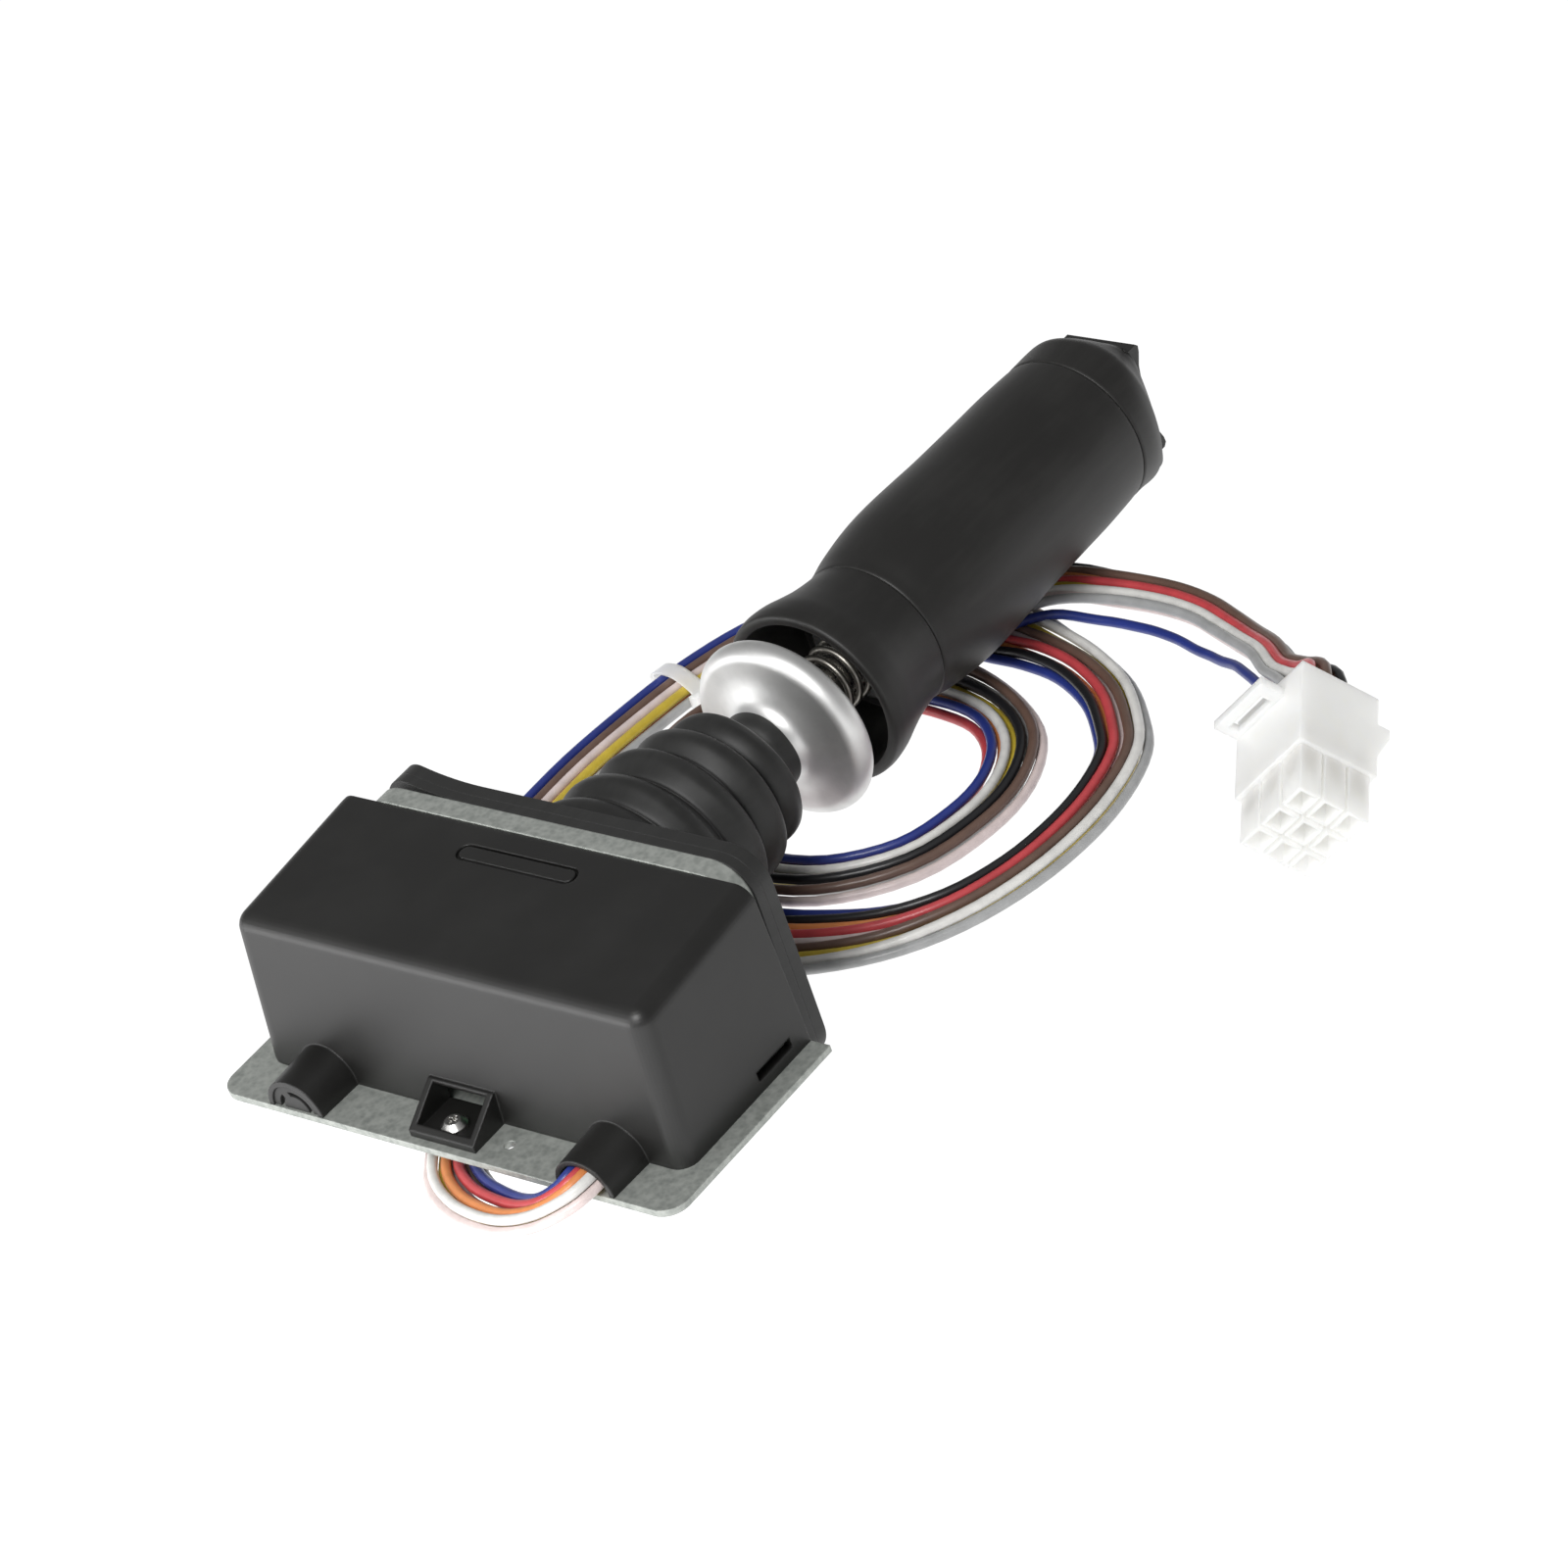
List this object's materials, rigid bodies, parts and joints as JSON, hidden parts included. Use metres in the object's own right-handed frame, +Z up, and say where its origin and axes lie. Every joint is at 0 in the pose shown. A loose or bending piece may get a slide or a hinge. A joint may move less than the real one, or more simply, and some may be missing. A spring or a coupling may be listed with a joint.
{
  "type": "industrial joystick",
  "caption": "Industrial single-axis joystick: flange-mounted base, bellows, lift-to-unlock collar, hand grip with thumb rocker, and a wired lead with connector.",
  "frame": {"origin": "where the lever's axis meets the outer face of the mounting flange, the centre of its bolt pattern", "axes": "+Y runs out along the lever, +X along the long side of the flange, +Z up from the tray to the cover's top"},
  "size_m": [0.1984, 0.2585, 0.052],
  "materials": {
    "zinc_plate": "galvanised sheet, dull and lightly mottled",
    "steel_plate": "bright zinc plated steel",
    "black_shell": "moulded shell with a soft satin texture",
    "black_rubber": "matt rubber",
    "soft_rubber": "moulded rubber with a satin sheen",
    "grip_rubber": "satin soft-touch rubber",
    "polished_alloy": "turned and polished aluminium",
    "bright_steel": "bright ground steel",
    "spring_steel": "drawn spring wire",
    "bronze": "sintered bronze",
    "acetal": "moulded acetal, natural colour",
    "sensor_case": "moulded case",
    "board_green": "solder mask",
    "chip_black": "moulded packages",
    "wire_blue": "wire insulation, nine colours",
    "white_nylon": "milky nylon",
    "tin_brass": "formed contact metal"
  },
  "bodies": {
    "base": {"mounting_flange": "zinc_plate", "base_tray": "zinc_plate", "tray_screws": "steel_plate", "cover": "black_shell", "cover_screw": "bright_steel", "blanking_plug": "black_rubber", "outlet_grommet": "black_rubber", "flange_gasket": "black_rubber", "boot_base": "black_rubber", "boot": "soft_rubber", "pivot_frame": "steel_plate", "frame_screws": "steel_plate", "upper_bush": "bronze", "lower_bush": "bronze", "lock_gate": "steel_plate", "spring_anchor": "steel_plate", "position_sensor": "sensor_case", "sensor_nut": "steel_plate", "circuit_board": "board_green", "board_parts": "chip_black", "board_spacers": "acetal", "board_screws": "steel_plate", "centring_spring": "spring_steel", "harness": "wire_blue", "cable_tie": "white_nylon", "connector_housing": "white_nylon", "connector_retainer": "white_nylon", "connector_terminals": "tin_brass"},
    "lever": {"pivot_block": "steel_plate", "block_screw": "steel_plate", "trunnion_pins": "bright_steel", "sector_gear": "acetal", "shaft": "bright_steel", "spring_seat": "steel_plate", "grip_cup": "grip_rubber", "grip_body": "grip_rubber", "grip_core": "black_shell", "grip_nut": "steel_plate", "head_shell": "grip_rubber", "switch_body": "black_shell", "rocker_pin": "bright_steel", "rocker_springs": "spring_steel"},
    "sensor_rotor": {"sensor_pinion": "acetal"},
    "collar": {"lock_rod": "bright_steel", "collar": "polished_alloy", "collar_pin": "bright_steel", "collar_spring": "spring_steel"},
    "rocker": {"rocker_cap": "soft_rubber"}
  },
  "joints": [
    {"name": "lever_swing", "type": "hinge", "parent": "base", "child": "lever", "pos_m": [0, -0.018, 0], "axis": [0, 0, 1], "range_deg": [-16, 16], "stiffness_Nm_per_rad": 0.4, "deforming": ["boot", "centring_spring"]},
    {"name": "sensor_turn", "type": "hinge", "parent": "base", "child": "sensor_rotor", "pos_m": [0.02, -0.018, 0], "axis": [0, 0, 1], "range_deg": [-48, 48]},
    {"name": "collar_lift", "type": "slide", "parent": "lever", "child": "collar", "axis": [0, 1, 0], "range_m": [0, 0.006], "stiffness_N_per_m": 200, "deforming": ["collar_spring"]},
    {"name": "rocker_tilt", "type": "hinge", "parent": "lever", "child": "rocker", "pos_m": [0, 0.182, -0.0005], "axis": [1, 0, 0], "range_deg": [-8, 8], "stiffness_Nm_per_rad": 0.05, "deforming": ["rocker_springs"]}
  ],
  "couplings": [
    {"joint": "sensor_turn", "follows": "lever_swing", "ratio": -3}
  ]
}
